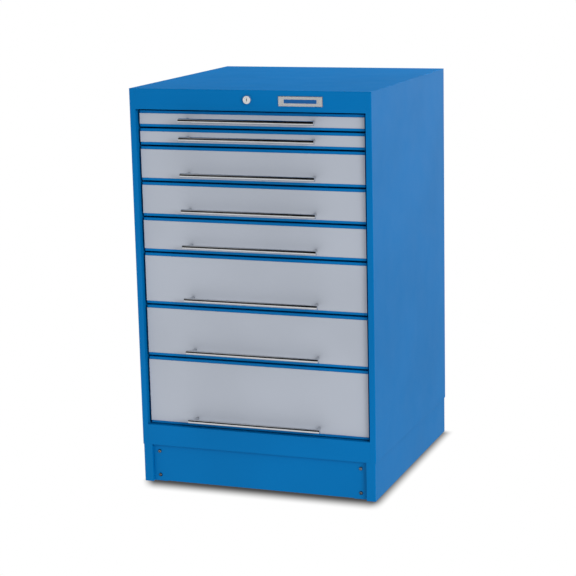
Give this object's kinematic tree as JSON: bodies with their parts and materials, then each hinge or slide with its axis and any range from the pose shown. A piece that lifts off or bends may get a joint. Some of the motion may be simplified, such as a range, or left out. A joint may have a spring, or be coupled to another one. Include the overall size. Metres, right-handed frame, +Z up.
{
  "type": "modular drawer cabinet",
  "caption": "Blue steel drawer cabinet on a plinth: pale grey drawer faces with chromed bar handles, roller runners inside, and one lock that holds all drawers.",
  "frame": {"origin": "middle of the footprint, handles included, on the floor", "axes": "+X to the right of someone facing the drawers, +Y from the front to the back, +Z up"},
  "size_m": [0.7, 0.741, 1.128],
  "materials": {
    "cabinet_blue": "satin powder coat, blue",
    "panel_grey": "satin powder coat, pale grey",
    "handle_chrome": "polished chrome plating",
    "lock_chrome": "nickel plating",
    "zinc_steel": "zinc plated",
    "roller_nylon": "moulded nylon",
    "badge_silver": "satin",
    "badge_blue": "plain blue, no lettering"
  },
  "bodies": {
    "housing": {"left_side_panel": "cabinet_blue", "right_side_panel": "cabinet_blue", "top_panel": "cabinet_blue", "header_fascia": "cabinet_blue", "bottom_rail": "cabinet_blue", "floor_panel": "cabinet_blue", "back_panel": "cabinet_blue", "uprights": "zinc_steel", "runner_channels": "zinc_steel", "plinth_frame": "cabinet_blue", "kick_panel": "cabinet_blue", "kick_panel_screws": "zinc_steel", "lock_cylinder": "lock_chrome", "lock_nut": "zinc_steel", "lock_bar_guides": "zinc_steel", "badge_frame": "badge_silver", "badge_insert": "badge_blue"},
    "lock_plug": {"lock_plug": "lock_chrome", "lock_cam": "zinc_steel"},
    "lock_bar": {"lock_bar": "zinc_steel"},
    "drawer_1": {"drawer_box_1": "cabinet_blue", "drawer_panel_1": "panel_grey", "drawer_handle_1": "handle_chrome"},
    "front_rollers_1": {"front_rollers_1": "roller_nylon"},
    "rear_rollers_1": {"rear_rollers_1": "roller_nylon"},
    "drawer_2": {"drawer_box_2": "cabinet_blue", "drawer_panel_2": "panel_grey", "drawer_handle_2": "handle_chrome"},
    "front_rollers_2": {"front_rollers_2": "roller_nylon"},
    "rear_rollers_2": {"rear_rollers_2": "roller_nylon"},
    "drawer_3": {"drawer_box_3": "cabinet_blue", "drawer_panel_3": "panel_grey", "drawer_handle_3": "handle_chrome"},
    "front_rollers_3": {"front_rollers_3": "roller_nylon"},
    "rear_rollers_3": {"rear_rollers_3": "roller_nylon"},
    "drawer_4": {"drawer_box_4": "cabinet_blue", "drawer_panel_4": "panel_grey", "drawer_handle_4": "handle_chrome"},
    "front_rollers_4": {"front_rollers_4": "roller_nylon"},
    "rear_rollers_4": {"rear_rollers_4": "roller_nylon"},
    "drawer_5": {"drawer_box_5": "cabinet_blue", "drawer_panel_5": "panel_grey", "drawer_handle_5": "handle_chrome"},
    "front_rollers_5": {"front_rollers_5": "roller_nylon"},
    "rear_rollers_5": {"rear_rollers_5": "roller_nylon"},
    "drawer_6": {"drawer_box_6": "cabinet_blue", "drawer_panel_6": "panel_grey", "drawer_handle_6": "handle_chrome"},
    "front_rollers_6": {"front_rollers_6": "roller_nylon"},
    "rear_rollers_6": {"rear_rollers_6": "roller_nylon"},
    "drawer_7": {"drawer_box_7": "cabinet_blue", "drawer_panel_7": "panel_grey", "drawer_handle_7": "handle_chrome"},
    "front_rollers_7": {"front_rollers_7": "roller_nylon"},
    "rear_rollers_7": {"rear_rollers_7": "roller_nylon"},
    "drawer_8": {"drawer_box_8": "cabinet_blue", "drawer_panel_8": "panel_grey", "drawer_handle_8": "handle_chrome"},
    "front_rollers_8": {"front_rollers_8": "roller_nylon"},
    "rear_rollers_8": {"rear_rollers_8": "roller_nylon"}
  },
  "joints": [
    {"name": "lock_turn", "type": "hinge", "parent": "housing", "child": "lock_plug", "pos_m": [0, -0.3445, 1.1019], "axis": [0, -1, 0], "range_deg": [0, 90.1]},
    {"name": "lock_bar_slide", "type": "slide", "parent": "housing", "child": "lock_bar", "axis": [-1, 0, 0], "range_m": [0, 0.01131]},
    {"name": "drawer_1_slide", "type": "slide", "parent": "housing", "child": "drawer_1", "axis": [0, -1, 0], "range_m": [0, 0.5]},
    {"name": "front_rollers_1_turn", "type": "hinge", "parent": "housing", "child": "front_rollers_1", "pos_m": [0, -0.2865, 1.0393], "axis": [1, 0, 0], "range_deg": [0, 2729]},
    {"name": "rear_rollers_1_turn", "type": "hinge", "parent": "drawer_1", "child": "rear_rollers_1", "pos_m": [0, 0.3075, 1.0393], "axis": [1, 0, 0], "range_deg": [0, 2729]},
    {"name": "drawer_2_slide", "type": "slide", "parent": "housing", "child": "drawer_2", "axis": [0, -1, 0], "range_m": [0, 0.5]},
    {"name": "front_rollers_2_turn", "type": "hinge", "parent": "housing", "child": "front_rollers_2", "pos_m": [0, -0.2865, 0.9893], "axis": [1, 0, 0], "range_deg": [0, 2729]},
    {"name": "rear_rollers_2_turn", "type": "hinge", "parent": "drawer_2", "child": "rear_rollers_2", "pos_m": [0, 0.3075, 0.9893], "axis": [1, 0, 0], "range_deg": [0, 2729]},
    {"name": "drawer_3_slide", "type": "slide", "parent": "housing", "child": "drawer_3", "axis": [0, -1, 0], "range_m": [0, 0.5]},
    {"name": "front_rollers_3_turn", "type": "hinge", "parent": "housing", "child": "front_rollers_3", "pos_m": [0, -0.2865, 0.8893], "axis": [1, 0, 0], "range_deg": [0, 2729]},
    {"name": "rear_rollers_3_turn", "type": "hinge", "parent": "drawer_3", "child": "rear_rollers_3", "pos_m": [0, 0.3075, 0.8893], "axis": [1, 0, 0], "range_deg": [0, 2729]},
    {"name": "drawer_4_slide", "type": "slide", "parent": "housing", "child": "drawer_4", "axis": [0, -1, 0], "range_m": [0, 0.5]},
    {"name": "front_rollers_4_turn", "type": "hinge", "parent": "housing", "child": "front_rollers_4", "pos_m": [0, -0.2865, 0.7893], "axis": [1, 0, 0], "range_deg": [0, 2729]},
    {"name": "rear_rollers_4_turn", "type": "hinge", "parent": "drawer_4", "child": "rear_rollers_4", "pos_m": [0, 0.3075, 0.7893], "axis": [1, 0, 0], "range_deg": [0, 2729]},
    {"name": "drawer_5_slide", "type": "slide", "parent": "housing", "child": "drawer_5", "axis": [0, -1, 0], "range_m": [0, 0.5]},
    {"name": "front_rollers_5_turn", "type": "hinge", "parent": "housing", "child": "front_rollers_5", "pos_m": [0, -0.2865, 0.6893], "axis": [1, 0, 0], "range_deg": [0, 2729]},
    {"name": "rear_rollers_5_turn", "type": "hinge", "parent": "drawer_5", "child": "rear_rollers_5", "pos_m": [0, 0.3075, 0.6893], "axis": [1, 0, 0], "range_deg": [0, 2729]},
    {"name": "drawer_6_slide", "type": "slide", "parent": "housing", "child": "drawer_6", "axis": [0, -1, 0], "range_m": [0, 0.5]},
    {"name": "front_rollers_6_turn", "type": "hinge", "parent": "housing", "child": "front_rollers_6", "pos_m": [0, -0.2865, 0.5393], "axis": [1, 0, 0], "range_deg": [0, 2729]},
    {"name": "rear_rollers_6_turn", "type": "hinge", "parent": "drawer_6", "child": "rear_rollers_6", "pos_m": [0, 0.3075, 0.5393], "axis": [1, 0, 0], "range_deg": [0, 2729]},
    {"name": "drawer_7_slide", "type": "slide", "parent": "housing", "child": "drawer_7", "axis": [0, -1, 0], "range_m": [0, 0.5]},
    {"name": "front_rollers_7_turn", "type": "hinge", "parent": "housing", "child": "front_rollers_7", "pos_m": [0, -0.2865, 0.3893], "axis": [1, 0, 0], "range_deg": [0, 2729]},
    {"name": "rear_rollers_7_turn", "type": "hinge", "parent": "drawer_7", "child": "rear_rollers_7", "pos_m": [0, 0.3075, 0.3893], "axis": [1, 0, 0], "range_deg": [0, 2729]},
    {"name": "drawer_8_slide", "type": "slide", "parent": "housing", "child": "drawer_8", "axis": [0, -1, 0], "range_m": [0, 0.5]},
    {"name": "front_rollers_8_turn", "type": "hinge", "parent": "housing", "child": "front_rollers_8", "pos_m": [0, -0.2865, 0.1893], "axis": [1, 0, 0], "range_deg": [0, 2729]},
    {"name": "rear_rollers_8_turn", "type": "hinge", "parent": "drawer_8", "child": "rear_rollers_8", "pos_m": [0, 0.3075, 0.1893], "axis": [1, 0, 0], "range_deg": [0, 2729]}
  ],
  "couplings": [
    {"joint": "lock_turn", "follows": "lock_bar_slide", "rad_per_m": 138.84},
    {"joint": "front_rollers_1_turn", "follows": "drawer_1_slide", "rad_per_m": 95.238},
    {"joint": "rear_rollers_1_turn", "follows": "drawer_1_slide", "rad_per_m": 95.238},
    {"joint": "front_rollers_2_turn", "follows": "drawer_2_slide", "rad_per_m": 95.238},
    {"joint": "rear_rollers_2_turn", "follows": "drawer_2_slide", "rad_per_m": 95.238},
    {"joint": "front_rollers_3_turn", "follows": "drawer_3_slide", "rad_per_m": 95.238},
    {"joint": "rear_rollers_3_turn", "follows": "drawer_3_slide", "rad_per_m": 95.238},
    {"joint": "front_rollers_4_turn", "follows": "drawer_4_slide", "rad_per_m": 95.238},
    {"joint": "rear_rollers_4_turn", "follows": "drawer_4_slide", "rad_per_m": 95.238},
    {"joint": "front_rollers_5_turn", "follows": "drawer_5_slide", "rad_per_m": 95.238},
    {"joint": "rear_rollers_5_turn", "follows": "drawer_5_slide", "rad_per_m": 95.238},
    {"joint": "front_rollers_6_turn", "follows": "drawer_6_slide", "rad_per_m": 95.238},
    {"joint": "rear_rollers_6_turn", "follows": "drawer_6_slide", "rad_per_m": 95.238},
    {"joint": "front_rollers_7_turn", "follows": "drawer_7_slide", "rad_per_m": 95.238},
    {"joint": "rear_rollers_7_turn", "follows": "drawer_7_slide", "rad_per_m": 95.238},
    {"joint": "front_rollers_8_turn", "follows": "drawer_8_slide", "rad_per_m": 95.238},
    {"joint": "rear_rollers_8_turn", "follows": "drawer_8_slide", "rad_per_m": 95.238}
  ]
}
